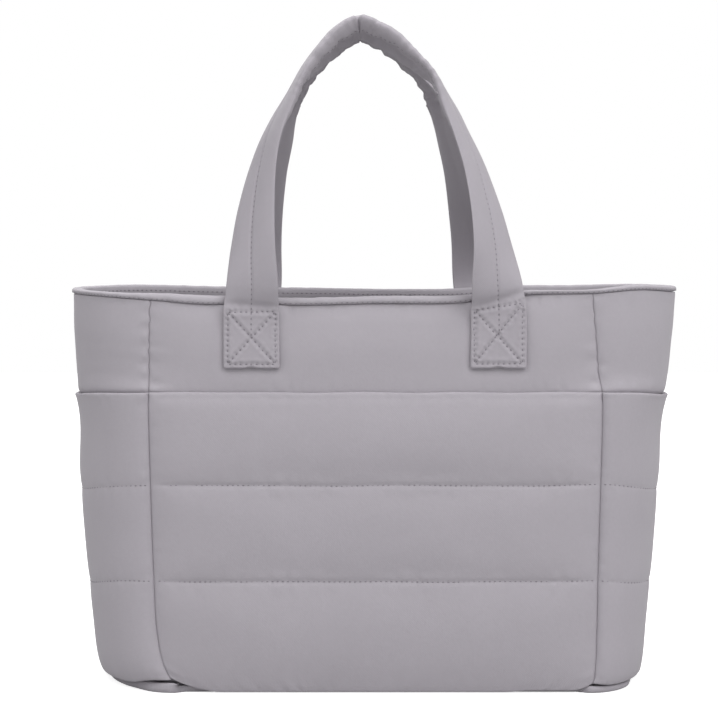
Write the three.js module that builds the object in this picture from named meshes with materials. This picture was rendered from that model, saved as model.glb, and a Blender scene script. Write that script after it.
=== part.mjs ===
// Padded shoulder tote: a cloth body of padded panels with a quilted front pocket, two quilted
// side pockets, a bound rim and two padded handles sewn to its front and back.
// Millimetres, +Z up. The front faces -Y and the origin is the middle of the base's underside.

import * as THREE from 'three';

// Driving dimensions
const WALL = 6; // a padded wall between its two cloth faces
const GAP = 0.3; // between neighbouring pieces

const BASE_THICKNESS = 5;
const BASE_LIP = 4; // how far the base stands out under the side pockets
const BASE_BEVEL = 1.2;

const BINDING_HEIGHT = 4.8;
const BINDING_WIDTH = 8; // across the wall that it binds

const POCKET_FOOT = 0.6; // lower edge of the front pocket above the floor
const POCKET_SLIT = 5; // open space behind the front pocket, below its hem
const POCKET_STITCHED = 3.5; // thickness where it is stitched down
const POCKET_SLIT_LEVEL = 0.8; // share of the lowest channel over which it opens
const SIDE_POCKET_SLIT = 1;
const SIDE_POCKET_STITCHED = 5;

const PILLOW_POWER = 3; // higher gives flatter padding with steeper edges
const SEAM_POWER = 10; // higher keeps the pull of a seam closer to it

const STRAP_WIDTH = 38.6;
const HANDLE_LEAN = 9; // degrees, the handles lean towards each other
const GATHER_HEIGHT = 1.3; // folds on the inside of a handle's crown
const GATHER_LENGTH = 22;
const TAB_TOP = 277.6; // height where a handle's legs leave the body
const LEG_MIDDLE = 330;
const CROWN_START = 405; // height where a handle's gathers begin
const CROWN_FULL = 445;
const CROWN_TOP = 490;

// Outside of the walls at each height: half width of the front and back at their left and right seams,
// half width at the middle of the left and right sides, half depth, and how the corners run in plan,
// where 1 gives elliptical corners, less gives squarer ones and more gives pointed ones.
const PROFILE = [
  { z: 0, seamLeft: 133.5, seamRight: 151, left: 199.8, right: 196.2, depth: 75.5, corner: 0.93 },
  { z: 7, seamLeft: 144.5, seamRight: 158, left: 201.8, right: 197, depth: 75.5, corner: 0.94 },
  { z: 18.5, seamLeft: 151.8, seamRight: 160, left: 203.9, right: 198, depth: 75, corner: 0.95 },
  { z: 42.4, seamLeft: 157.2, seamRight: 161.1, left: 206.4, right: 199.9, depth: 72.5, corner: 0.96 },
  { z: 83, seamLeft: 159.8, seamRight: 162, left: 210.6, right: 204, depth: 69.5, corner: 0.98 },
  { z: 151.6, seamLeft: 162, seamRight: 163.6, left: 215.9, right: 209.2, depth: 68, corner: 1.02 },
  { z: 209.8, seamLeft: 163.1, seamRight: 164.5, left: 218.9, right: 215.3, depth: 68, corner: 1.06 },
  { z: 214.5, seamLeft: 163.1, seamRight: 164.4, left: 221.8, right: 218.4, depth: 68, corner: 1.065 },
  { z: 219.8, seamLeft: 163.1, seamRight: 164.3, left: 222.3, right: 219.7, depth: 68, corner: 1.07 },
  { z: 227.8, seamLeft: 163, seamRight: 162.6, left: 222.7, right: 220.8, depth: 66, corner: 1.08 },
  { z: 253.7, seamLeft: 162.8, seamRight: 160.4, left: 224, right: 223.1, depth: 66, corner: 1.1 },
  { z: 286.5, seamLeft: 161.9, seamRight: 157.5, left: 226.6, right: 227.6, depth: 66, corner: 1.15 },
];

// Top of the rim along the front and the back of the mouth.
const RIM = [
  { x: -227, front: 291.2, back: 291.6 },
  { x: -194, front: 291, back: 292 },
  { x: -158, front: 289.5, back: 290.5 },
  { x: -130, front: 286.8, back: 289.5 },
  { x: -95, front: 286, back: 289.3 },
  { x: -50, front: 285.5, back: 289.8 },
  { x: 0, front: 286.6, back: 288.9 },
  { x: 60, front: 287.1, back: 289 },
  { x: 85, front: 289.6, back: 290.3 },
  { x: 110, front: 292.8, back: 291.6 },
  { x: 160, front: 293.8, back: 291.6 },
  { x: 195, front: 294.2, back: 292.2 },
  { x: 227, front: 292.4, back: 292.4 },
];

// Sewn lines round the body: height at the front and back seams, and at the middle of the side.
const LINES = [
  { line: 'foot', seam: BASE_THICKNESS + GAP, side: BASE_THICKNESS + GAP },
  { line: 'lower quilting', seam: 81.4, side: 68.9 },
  { line: 'upper quilting', seam: 151.1, side: 139.6 },
  { line: 'pocket hem', seam: 218.3, side: 210.8 },
];

// How far the padding stands out between two sewn lines, from the foot to the rim.
const PUFF = {
  front_panel: [0, 0, 0, 2.5],
  back_panel: [4, 4, 4, 3],
  side_panel: [0, 0, 0, 1.5],
  front_pocket: [3, 3, 3],
  side_pocket: [0.8, 0.8, 0.8],
};

// Middle line of the front handle from its left tab to its right tab. turn: degrees that the face has
// turned from the front to the outside of the arch; fold: degrees that each half droops from the middle.
const HANDLE = [
  { x: -87.8, y: -71.4, z: 236.8, turn: 0, fold: 0, thick: 4 },
  { x: -87.8, y: -71.4, z: 277.6, turn: 0, fold: 0, thick: 4 },
  { x: -87.3, y: -75.5, z: 295.5, turn: 13, fold: 0, thick: 5.5 },
  { x: -87, y: -73.5, z: 320.2, turn: 30, fold: 0, thick: 6.5 },
  { x: -84.7, y: -67.5, z: 348.9, turn: 43, fold: 0, thick: 7 },
  { x: -80.1, y: -60.5, z: 377.9, turn: 56, fold: 0, thick: 7 },
  { x: -73.7, y: -56.2, z: 402.9, turn: 66, fold: 2, thick: 7 },
  { x: -64.4, y: -52.5, z: 425, turn: 74, fold: 4, thick: 7 },
  { x: -53.6, y: -48.6, z: 446.6, turn: 84, fold: 8, thick: 7.5 },
  { x: -38.1, y: -44.6, z: 466.8, turn: 90, fold: 14, thick: 8.5 },
  { x: -28, y: -43, z: 476.5, turn: 90, fold: 16, thick: 9 },
  { x: -11.1, y: -41.8, z: 484.9, turn: 90, fold: 16, thick: 9 },
  { x: 7.1, y: -43, z: 478.3, turn: 90, fold: 16, thick: 9 },
  { x: 16.6, y: -44, z: 472.3, turn: 90, fold: 15, thick: 9 },
  { x: 25.8, y: -45.4, z: 464, turn: 90, fold: 13, thick: 8.5 },
  { x: 43.2, y: -48.6, z: 445.9, turn: 86, fold: 6, thick: 7.5 },
  { x: 54.3, y: -52.5, z: 424.6, turn: 74, fold: 2, thick: 7 },
  { x: 62.9, y: -56.2, z: 402.9, turn: 68, fold: 0, thick: 7 },
  { x: 72, y: -60.5, z: 377.9, turn: 61, fold: 0, thick: 7 },
  { x: 79.8, y: -67.5, z: 348.9, turn: 51, fold: 0, thick: 7 },
  { x: 85, y: -73.5, z: 320.2, turn: 38, fold: 0, thick: 6.5 },
  { x: 87.5, y: -75.5, z: 295.5, turn: 16, fold: 0, thick: 5.5 },
  { x: 89, y: -71.4, z: 277.6, turn: 0, fold: 0, thick: 4 },
  { x: 89, y: -71.4, z: 236.8, turn: 0, fold: 0, thick: 4 },
];

// The back handle stands behind the front one and leans on it: its legs sit a little to one side, its
// faces turn outwards higher up, where a larger lag starts the turn later, and its crown reaches over
// to the front one. squeeze: share by which its legs stand closer together at the shoulders of
// the arch; tilt: degrees that a crown slopes down to its inner edge.
const HANDLES = {
  front: { shift: 0, squeeze: 0, lag: 1, reach: 0, tilt: 12 },
  back: { shift: -4.6, squeeze: 0.035, lag: 1.4, reach: 32, tilt: -12 },
};

// Strap section as shares of the half width and half thickness, with a stitched groove in the middle.
const STRAP_SECTION = [
  { across: -1, up: 0 },
  { across: -0.88, up: 0.75 },
  { across: -0.5, up: 1 },
  { across: -0.12, up: 0.85 },
  { across: 0, up: 0.5 },
  { across: 0.12, up: 0.85 },
  { across: 0.5, up: 1 },
  { across: 0.88, up: 0.75 },
  { across: 1, up: 0 },
  { across: 0.75, up: -0.9 },
  { across: 0, up: -0.75 },
  { across: -0.75, up: -0.9 },
];

// How finely the pieces are faceted
const SEAM_COLUMNS = [-1, -0.985, -0.95, -0.85, -0.6, -0.3, 0, 0.3, 0.6, 0.85, 0.95, 0.985, 1];
const SIDE_STEPS = 14;
const ROW_STEPS = 5; // rows between two sewn lines
const BINDING_SIDES = 8;
const LEG_STEP = 18; // along a handle's legs
const CROWN_STEP = 5.5; // along its gathered crown

const COLOURS = { cloth: 0xa8a3aa, handle: 0xa5a0a7, binding: 0xaaa5ac };

const { clamp, degToRad, lerp, smoothstep } = THREE.MathUtils;

// A table with rows of named columns becomes one smooth curve along its first column.
function curveThrough(rows) {
  const [key, ...names] = Object.keys(rows[0]);
  const keys = rows.map((row) => row[key]);
  const values = rows.flatMap((row) => names.map((name) => row[name]));
  const spline = new THREE.CubicInterpolant(keys, values, names.length);
  return (at) => {
    const found = spline.evaluate(at);
    return Object.fromEntries(names.map((name, i) => [name, found[i]]));
  };
}

const profile = curveThrough(PROFILE);
const rim = curveThrough(RIM);
const MOUTH = PROFILE.at(-1);

// Half width of the front or back, or of the whole body, on the side of its middle that x is on.
const seamOf = ({ seamLeft, seamRight }, x) => (x < 0 ? seamLeft : seamRight);
const sideOf = ({ left, right }, x) => (x < 0 ? left : right);

// Cloth between two sewn lines rises steeply and is flat on top: share runs from 0 to 1 between them.
const pillow = (share) => 1 - Math.abs(2 * share - 1) ** PILLOW_POWER;

// Padding is pulled in at a panel's two seams, at -1 and 1.
const pulledIn = (across) => 1 - Math.abs(across) ** SEAM_POWER;

// Top of a wall, under its binding; behind is 0 at the front and 1 at the back.
function wallTop(x, behind) {
  const { front, back } = rim(x);
  return lerp(front, back, behind) - BINDING_HEIGHT - GAP;
}

// Height of a point on a wall. Level 0 is the foot, 1 and 2 the quilted lines, 3 the pockets' hem and
// 4 the top of the wall; swing is 0 at the seams and 1 at the middle of a side.
function heightAt(level, swing, x, behind) {
  const heights = LINES.map(({ seam, side }) => lerp(seam, side, swing ** 2));
  heights.push(wallTop(x, behind));
  const below = clamp(Math.floor(level), 0, LINES.length - 1);
  return lerp(heights[below], heights[below + 1], level - below);
}

// What the padding adds at a level of a wall, from its list of puffs.
function puffAt(puffs, level) {
  const channel = clamp(Math.floor(level), 0, puffs.length - 1);
  return puffs[channel] * pillow(level - channel);
}

// A point on the front (facing 1) or back (facing -1), across from -1 to 1 between its seams.
function frontPoint(across, level, out, facing) {
  const sideways = facing * across;
  const z = heightAt(level, 0, sideways * seamOf(MOUTH, sideways), (1 - facing) / 2);
  const wall = profile(z);
  return new THREE.Vector3(
    sideways * (seamOf(wall, sideways) - GAP / 2),
    -facing * (wall.depth + out),
    z,
  );
}

// A point on the right (facing 1) or left (facing -1) side, across from -1 to 1 between its seams.
function sidePoint(across, level, out, facing) {
  const angle = degToRad(90 * (across + 1));
  const swing = Math.max(Math.sin(angle), 0);
  const along = Math.cos(angle);
  const reach = (wall, start) =>
    facing * (start + (sideOf(wall, facing) + out - start) * swing ** wall.corner);
  const z = heightAt(level, swing, reach(MOUTH, seamOf(MOUTH, facing)), (1 - facing * along) / 2);
  const wall = profile(z);
  return new THREE.Vector3(
    reach(wall, seamOf(wall, facing) + GAP / 2),
    -facing * Math.sign(along) * (wall.depth + out) * Math.abs(along) ** wall.corner,
    z,
  );
}

// One closed body from a list of points and the triangles between them.
function solid(points, triangles) {
  const geometry = new THREE.BufferGeometry().setFromPoints(points);
  geometry.setIndex(triangles.flat());
  geometry.computeVertexNormals();
  return geometry;
}

// Two triangles over four corners that run round the face.
const quad = (a, b, c, d) => [a, b, c, a, c, d];

// A padded panel between an outer and an inner face, both given as (across, level), closed at its edges.
function panel(columns, levels, outer, inner) {
  const points = [outer, inner].flatMap((face) =>
    levels.flatMap((level) => columns.map((across) => face(across, level))),
  );
  const wide = columns.length;
  const tall = levels.length;
  const out = (i, j) => j * wide + i;
  const into = (i, j) => wide * tall + out(i, j);
  const triangles = [];
  for (let j = 0; j < tall - 1; j++) {
    for (let i = 0; i < wide - 1; i++) {
      triangles.push(quad(out(i, j), out(i + 1, j), out(i + 1, j + 1), out(i, j + 1)));
      triangles.push(quad(into(i, j), into(i, j + 1), into(i + 1, j + 1), into(i + 1, j)));
    }
    triangles.push(quad(into(0, j), out(0, j), out(0, j + 1), into(0, j + 1)));
    const last = wide - 1;
    triangles.push(quad(out(last, j), into(last, j), into(last, j + 1), out(last, j + 1)));
  }
  for (let i = 0; i < wide - 1; i++) {
    const top = tall - 1;
    triangles.push(quad(into(i, 0), into(i + 1, 0), out(i + 1, 0), out(i, 0)));
    triangles.push(quad(out(i, top), out(i + 1, top), into(i + 1, top), into(i, top)));
  }
  return solid(points, triangles);
}

// Rings of points joined in order, with the ends capped at their middles, or joined up if closed.
function loft(rings, closed) {
  const size = rings[0].length;
  const points = rings.flat();
  const triangles = [];
  const joins = closed ? rings.length : rings.length - 1;
  for (let k = 0; k < joins; k++) {
    const here = k * size;
    const next = ((k + 1) % rings.length) * size;
    for (let i = 0; i < size; i++) {
      const j = (i + 1) % size;
      triangles.push(quad(here + i, next + i, next + j, here + j));
    }
  }
  if (!closed) {
    const start = points.length;
    const end = start + 1;
    const last = (rings.length - 1) * size;
    points.push(middleOf(rings[0]), middleOf(rings.at(-1)));
    for (let i = 0; i < size; i++) {
      const j = (i + 1) % size;
      triangles.push([start, i, j], [end, last + j, last + i]);
    }
  }
  return solid(points, triangles);
}

const middleOf = (ring) =>
  ring.reduce((sum, point) => sum.add(point), new THREE.Vector3()).divideScalar(ring.length);

// Even steps from one number to another, both included.
const steps = (from, to, count) =>
  Array.from({ length: count + 1 }, (_, i) => lerp(from, to, i / count));

// Rows from one sewn line to another, closer together near the lines.
function rows(first, last, perChannel) {
  const found = [first];
  for (let line = first; line < last; line++) {
    for (let k = 1; k <= perChannel; k++) {
      found.push(line + (1 - Math.cos((Math.PI * k) / perChannel)) / 2);
    }
  }
  return found;
}

const SIDE_COLUMNS = steps(-1, 1, SIDE_STEPS);

// Front and side walls are flat behind their pockets, so they have few rows between the quilted lines.
const PLAIN_ROWS = [...rows(0, 1, ROW_STEPS), 1.5, 2, 2.4, 2.8, ...rows(3, 4, ROW_STEPS)];

function frontPanel() {
  return panel(
    SEAM_COLUMNS,
    PLAIN_ROWS,
    (across, level) => frontPoint(across, level, puffAt(PUFF.front_panel, level) * pulledIn(across), 1),
    (across, level) => frontPoint(across, level, -WALL, 1),
  );
}

function backPanel() {
  return panel(
    SEAM_COLUMNS,
    rows(0, 4, ROW_STEPS),
    (across, level) => frontPoint(across, level, puffAt(PUFF.back_panel, level) * pulledIn(across), -1),
    (across, level) => frontPoint(across, level, -WALL, -1),
  );
}

function sidePanel(facing) {
  return panel(
    SIDE_COLUMNS,
    PLAIN_ROWS,
    (across, level) => sidePoint(across, level, puffAt(PUFF.side_panel, level) * pulledIn(across), facing),
    (across, level) => sidePoint(across, level, -WALL, facing),
  );
}

// The front pocket is sewn to the panel at its seams and foot, and stands off it below its open hem.
function frontPocket() {
  const standOff = (across, level) =>
    GAP + POCKET_SLIT * smoothstep(level, 0, POCKET_SLIT_LEVEL) * pulledIn(across);
  const [foot, firstLine] = LINES;
  const footLevel = (POCKET_FOOT - foot.seam) / (firstLine.seam - foot.seam);
  return panel(
    SEAM_COLUMNS,
    [footLevel, ...rows(0, 3, ROW_STEPS)],
    (across, level) => {
      const thick = POCKET_STITCHED + puffAt(PUFF.front_pocket, level) * pulledIn(across);
      return frontPoint(across, level, standOff(across, level) + thick, 1);
    },
    (across, level) => frontPoint(across, level, standOff(across, level), 1),
  );
}

function sidePocket(facing) {
  return panel(
    SIDE_COLUMNS,
    rows(0, 3, ROW_STEPS),
    (across, level) => {
      const thick = SIDE_POCKET_STITCHED + puffAt(PUFF.side_pocket, level) * pulledIn(across);
      return sidePoint(across, level, SIDE_POCKET_SLIT + thick, facing);
    },
    (across, level) => sidePoint(across, level, SIDE_POCKET_SLIT, facing),
  );
}

// Once round the body at one level: the front, the right side, the back and the left side.
function outline(level, offset) {
  const sides = SIDE_COLUMNS.slice(1, -1);
  return [1, -1].flatMap((facing) => [
    ...SEAM_COLUMNS.map((across) => frontPoint(across, level, offset(0), facing)),
    ...sides.map((across) => sidePoint(across, level, offset(1 - across ** 2), facing)),
  ]);
}

function basePanel() {
  const edge = outline(0, (sideways) => BASE_LIP * sideways - BASE_BEVEL);
  const shape = new THREE.Shape(edge.map(({ x, y }) => new THREE.Vector2(x, y)));
  const geometry = new THREE.ExtrudeGeometry(shape, {
    depth: BASE_THICKNESS - 2 * BASE_BEVEL,
    bevelThickness: BASE_BEVEL,
    bevelSize: BASE_BEVEL,
    bevelSegments: 2,
    curveSegments: 1,
  });
  return geometry.translate(0, 0, BASE_BEVEL);
}

// A rolled strip that sits on the top edge of all the walls.
function rimBinding() {
  const path = outline(4, () => -WALL / 2);
  const rings = path.map((point, i) => {
    const along = path[(i + 1) % path.length].clone().sub(path.at(i - 1)).setZ(0).normalize();
    const outward = new THREE.Vector3(along.y, -along.x, 0);
    const middle = point.z + GAP + BINDING_HEIGHT / 2;
    return steps(0, 2 * Math.PI, BINDING_SIDES).slice(1).map((angle) =>
      point.clone().setZ(middle + (BINDING_HEIGHT / 2) * Math.sin(angle))
        .addScaledVector(outward, (BINDING_WIDTH / 2) * Math.cos(angle)),
    );
  });
  return loft(rings, true);
}

// Places along a handle, as shares of its table: close together on the crown, further apart on the legs.
function handlePlaces(line) {
  const length = line.getLength();
  const places = [0];
  let along = 0;
  while (along < length) {
    const height = line.getPointAt(along / length).z;
    along += height > CROWN_START ? CROWN_STEP : LEG_STEP;
    places.push(Math.min(along, length));
  }
  if (places.at(-1) - places.at(-2) < CROWN_STEP) places.splice(-2, 1);
  return places.map((place) => ({ along: place, share: line.getUtoTmapping(place / length) }));
}

function handle({ shift, squeeze, lag, reach, tilt }) {
  const legShift = (x, z) => {
    const aside = shift * (1 - smoothstep(z, LEG_MIDDLE, CROWN_FULL));
    return aside - squeeze * x * smoothstep(z, LEG_MIDDLE, CROWN_START) * (1 - smoothstep(z, CROWN_START, CROWN_FULL));
  };
  const line = new THREE.CatmullRomCurve3(
    HANDLE.map(({ x, y, z }) => new THREE.Vector3(
      x + legShift(x, z), y + reach * smoothstep(z, TAB_TOP, CROWN_TOP), z,
    )),
  );
  const bends = curveThrough(
    HANDLE.map(({ turn, fold, thick }, i) => ({
      share: i / (HANDLE.length - 1),
      turn: 90 * (turn / 90) ** lag,
      fold,
      thick,
    })),
  );
  const front = new THREE.Vector3(0, -Math.cos(degToRad(HANDLE_LEAN)), Math.sin(degToRad(HANDLE_LEAN)));
  const rings = handlePlaces(line).map(({ along, share }) => {
    const middle = line.getPoint(share);
    const tangent = line.getTangent(share);
    const { turn, fold, thick } = bends(share);
    const facing = front.clone().addScaledVector(tangent, -front.dot(tangent)).normalize();
    const outside = facing.clone().cross(tangent);
    const face = facing.clone().multiplyScalar(Math.cos(degToRad(turn)))
      .addScaledVector(outside, Math.sin(degToRad(turn)));
    const widthways = face.clone().cross(tangent);
    const crown = smoothstep(middle.z, CROWN_START, CROWN_FULL);
    const gather = GATHER_HEIGHT * crown * Math.sin((2 * Math.PI * along) / GATHER_LENGTH);
    const slope = Math.tan(degToRad(tilt)) * smoothstep(middle.z, CROWN_FULL, CROWN_TOP);
    return STRAP_SECTION.map(({ across, up }) => {
      const width = (across * STRAP_WIDTH) / 2;
      const droop = Math.abs(width) * Math.tan(degToRad(clamp(fold, 0, 45)));
      const height = (up * thick) / 2 - droop - slope * width - (up < 0 ? gather : 0);
      return middle.clone().addScaledVector(widthways, width).addScaledVector(face, height);
    });
  });
  return loft(rings, false);
}

function cloth(colour) {
  return new THREE.MeshStandardMaterial({ color: colour, roughness: 0.8, metalness: 0 });
}

function piece(name, geometry, colour) {
  const mesh = new THREE.Mesh(geometry, cloth(colour));
  mesh.name = name;
  return mesh;
}

const bag = new THREE.Group();
bag.add(
  piece('base_panel', basePanel(), COLOURS.cloth),
  piece('front_panel', frontPanel(), COLOURS.cloth),
  piece('back_panel', backPanel(), COLOURS.cloth),
  piece('side_panel_right', sidePanel(1), COLOURS.cloth),
  piece('side_panel_left', sidePanel(-1), COLOURS.cloth),
  piece('front_pocket', frontPocket(), COLOURS.cloth),
  piece('side_pocket_right', sidePocket(1), COLOURS.cloth),
  piece('side_pocket_left', sidePocket(-1), COLOURS.cloth),
  piece('rim_binding', rimBinding(), COLOURS.binding),
);

const backHandle = piece('back_handle', handle(HANDLES.back), COLOURS.handle);
backHandle.scale.y = -1;
bag.add(piece('front_handle', handle(HANDLES.front), COLOURS.handle), backHandle);

export default bag;
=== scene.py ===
import math

import bpy
import numpy as np
from bpy.props import FloatProperty, FloatVectorProperty, PointerProperty
from bpy.types import Operator, Panel, PropertyGroup
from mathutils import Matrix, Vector
from mathutils.bvhtree import BVHTree


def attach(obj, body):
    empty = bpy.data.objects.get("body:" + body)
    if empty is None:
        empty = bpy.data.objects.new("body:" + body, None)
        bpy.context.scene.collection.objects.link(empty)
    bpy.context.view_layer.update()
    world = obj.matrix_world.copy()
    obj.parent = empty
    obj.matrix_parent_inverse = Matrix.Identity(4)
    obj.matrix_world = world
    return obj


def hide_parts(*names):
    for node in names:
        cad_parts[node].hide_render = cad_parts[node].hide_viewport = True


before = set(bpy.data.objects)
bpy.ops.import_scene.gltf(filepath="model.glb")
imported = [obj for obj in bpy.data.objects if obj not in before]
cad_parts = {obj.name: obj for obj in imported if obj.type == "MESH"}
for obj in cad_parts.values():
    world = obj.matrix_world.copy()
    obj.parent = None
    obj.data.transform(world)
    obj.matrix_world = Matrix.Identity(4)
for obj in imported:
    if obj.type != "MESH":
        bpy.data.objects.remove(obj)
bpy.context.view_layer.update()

bl_info = {
    "name": "Padded Shoulder Tote",
    "version": (1, 0, 0),
    "blender": (4, 5, 0),
    "location": "3D View > Sidebar > Tote",
    "description": "Sews a padded tote, its slip pockets and its handles over the packed model",
    "category": "Object",
}

MM = 0.001

# Tables and sizes are in millimetres; the stage and the properties are in metres.
# The bag's outline at each height.
PROFILE = {
    "z": (0, 7, 18.5, 42.4, 83, 151.6, 209.8, 214.5, 219.8, 227.8, 253.7, 286.5),
    "seam_left": (133.5, 144.5, 151.8, 157.2, 159.8, 162, 163.1, 163.1, 163.1, 163, 162.8, 161.9),
    "seam_right": (151, 158, 160, 161.1, 162, 163.6, 164.5, 164.4, 164.3, 162.6, 160.4, 157.5),
    "left": (199.8, 201.8, 203.9, 206.4, 210.6, 215.9, 218.9, 221.8, 222.3, 222.7, 224, 226.6),
    "right": (196.2, 197, 198, 199.9, 204, 209.2, 215.3, 218.4, 219.7, 220.8, 223.1, 227.6),
    "depth": (75.5, 75.5, 75, 72.5, 69.5, 68, 68, 68, 68, 66, 66, 66),
    "corner": (0.93, 0.94, 0.95, 0.96, 0.98, 1.02, 1.06, 1.065, 1.07, 1.08, 1.1, 1.15),
}
# Top of the rim along the front and the back of the mouth.
RIM = {
    "x": (-227, -194, -158, -130, -95, -50, 0, 60, 85, 110, 160, 195, 227),
    "front": (292.2, 290.9, 288.7, 286.4, 285.8, 285.5, 286.6, 287.1, 289.6, 292.8, 293.9, 296.3, 294),
    "back": (292.2, 292.6, 291.8, 291, 290.2, 289.8, 288.9, 289, 290.3, 291.6, 291.9, 292.8, 292.6),
}
# How full the top of the binding is along the front.
LIP = {
    "x": (-227, -203, -183, -154, -125, -90, -50, 60, 95, 120, 150, 180, 227),
    "front": (0.45, 0.5, 0.65, 1.4, 1.7, 1.5, 1.25, 1.25, 0.8, 0.3, 0.2, 0.6, 0.5),
}
# Heights of the foot, the two quilting lines and the pocket hem, at the upright seams and the sides' middle.
LINES = {"seam": (5.3, 81.4, 151.1, 218.3), "side": (5.3, 71.8, 141, 212.3)}
CHANNEL = 70  # about the height between two of these lines
POCKET_LINES, BACK_LINES = (1, 2), (1, 2, 3)  # which of them are sewn across
SEWN_REACH = 0.985  # how far their stitches run towards the seams
WALL, GAP, SEAM_GAP = 6, 0.3, 0.08  # thickness of the walls, gap between pieces and at the upright seams
SEAM_WANDER = 0.7
FRONT_HALF, POCKET_HALF, SIDE_HALF = 163, 160, 105  # half the cloth's width from seam to seam
# The upper front: how far forward it stands, how much further over the pocket hem, how far it leans back and
# is tucked in at the rim, and how far forward it stands under the tabs.
FRONT_PLANE, BAND_FULL, BAND_LEAN, RIM_TUCK, TAB_SEAT = 68, 2.7, 3, 3.4, 69.3
BACK_FULLER = 1.5  # wadding that the back has more than the front pocket
BINDING_HEIGHT, BINDING_WIDTH = 4.8, 8
FLAP_LENGTH, FLAP_INSET, FLAP_ANGLE, FLAP_SPREAD = 5.2, 0.35, 201, 17  # its inner edge, along the back
RIM_SEWING = ((-4.6, 0.5), (4.2, 0.9))  # distance out of the wall's middle, and height above its top
# The pockets' lowest edge, the slit behind them, and their thickness at the sewn lines.
POCKET_FOOT, POCKET_SLIT, POCKET_STITCHED = 0.6, 5, 3.5
SIDE_POCKET_SLIT, SIDE_POCKET_STITCHED, SIDE_POCKET_FILL = 1, 5, 0.8  # the last is wadding between the lines
BASE_LIP = 4  # how far the base stands out under the sides, beside the seams
# The base's edge, from its underside round to its top: inset, height, and lift at the left corners.
BASE_EDGE = (
    (60, 0, 0), (8, 0, 0), (1.8, 0.1, 0), (0.5, 0.8, 0), (0, 2.5, 0.8), (0.4, 4.2, 2),
    (1.4, 4.9, 2.6), (2.4, 4.9, 2), (3.2, 5, 0), (8, 5, 0), (60, 5, 0),
)

# The front handle's middle line, how far it turns and folds, and its thickness.
HANDLE = {
    "x": (-88.4, -88.4, -87.5, -87.2, -85.3, -81.1, -74.6, -64.6, -53, -37.6, -27.6, -11.1,
          7.1, 16.2, 25.2, 42.2, 53.8, 63.4, 73, 80.6, 85.3, 87.6, 89.2, 89.2),
    "y": (-71.4, -71.4, -75.5, -73.5, -67.5, -60.5, -56.2, -52.5, -48.6, -44.6, -43, -41.8,
          -43, -44, -45.4, -48.6, -52.5, -56.2, -60.5, -67.5, -73.5, -75.5, -71.4, -71.4),
    "z": (235.6, 277.6, 295.5, 320.2, 348.9, 377.9, 402.9, 425, 446.4, 466.2, 476.4, 485.3,
          478.4, 472.4, 464, 446, 424.6, 402.9, 377.9, 348.9, 320.2, 295.5, 277.6, 235.6),
    "turn": (0, 0, 13, 30, 43, 56, 66, 74, 84, 90, 90, 90, 90, 90, 90, 86, 74, 68, 61, 51, 38, 16, 0, 0),
    "fold": (0, 0, 0, 0, 0, 0, 2, 5, 10, 15, 16, 16, 16, 15, 13, 6, 2, 0, 0, 0, 0, 0, 0, 0),
    "thick": (3.8, 3.8, 5.2, 6.5, 7, 7, 7, 7, 7.5, 8.5, 9, 9,
              9, 9, 8.5, 7.5, 7, 7, 7, 7, 6.5, 5.2, 3.8, 3.8),
}
# How each handle differs from that line: full is 1 where the crown has a thick front edge, and depth is -1
# for the handle at the back.
HANDLES = {
    "front": {"shift": 0, "squeeze": 0, "slack": 0, "lag": 1, "reach": 0,
              "tilt": 2, "full": 1, "depth": 1},
    "back": {"shift": -4.6, "squeeze": 0.035, "slack": 4, "lag": 1.4, "reach": 32,
             "tilt": -3, "full": 0, "depth": -1},
}
HANDLE_LEAN = 9  # degrees that the straps lean back
TAB_FORWARD = 0.4  # the tabs sit on wadding, a little further out than the solids
TABS = (
    {"x": -88.4, "foot": 235.4, "top": (276.2, 276.2)},
    {"x": 89.2, "foot": 235.8, "top": (277.4, 282.4)},
)
TAB_INSET, TAB_LOW = 2.9, 3  # of the sewn box, from the tab's sides and foot
RIGHT_TOP, RIGHT_SLANT = 280, 0.13  # of the right tab's upper end
DIP_DEPTH, DIP_ABOVE, DIP_WIDTH = 1.7, 4.5, 3.6  # of the dip over each tab
TAB_TOP, LEG_START, LEG_MIDDLE, CROWN_START, CROWN_FULL, CROWN_TOP = 277.6, 285, 330, 405, 445, 490
SLACK_FROM, SLACK_TO = (400, 428), (450, 480)  # heights where the left leg bows out
FULLER_BY, FULLER_FROM = 0.33, (435, 475)  # share that the front crown is thicker, and where
CROWN_SEAM = -0.81  # place of the seam under the crown, from -1 to 1 across the strap
OUTSIDE_COLUMNS, INSIDE_COLUMNS = 63, 48  # points across a strap's outer and inner face
CREASES = ((-12, 3), (2, 2.6), (-46, 1), (34, 1.2))  # places along X and depths, over the front crown
STITCHED_FROM, STITCHED_TO = 258, 452  # heights of the straps' middle seam
QUILTING_SUNK = 0.45  # how deep the quilting's stitches lie, as a share of the thread

SEEDS = {
    "front_panel": 11, "back_panel": 12, "side_panel_left": 13, "side_panel_right": 14,
    "front_pocket": 21, "side_pocket_left": 22, "side_pocket_right": 23,
    "rim_binding": 31, "front_handle": 41, "back_handle": 47, "creases": 51,
}

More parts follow.
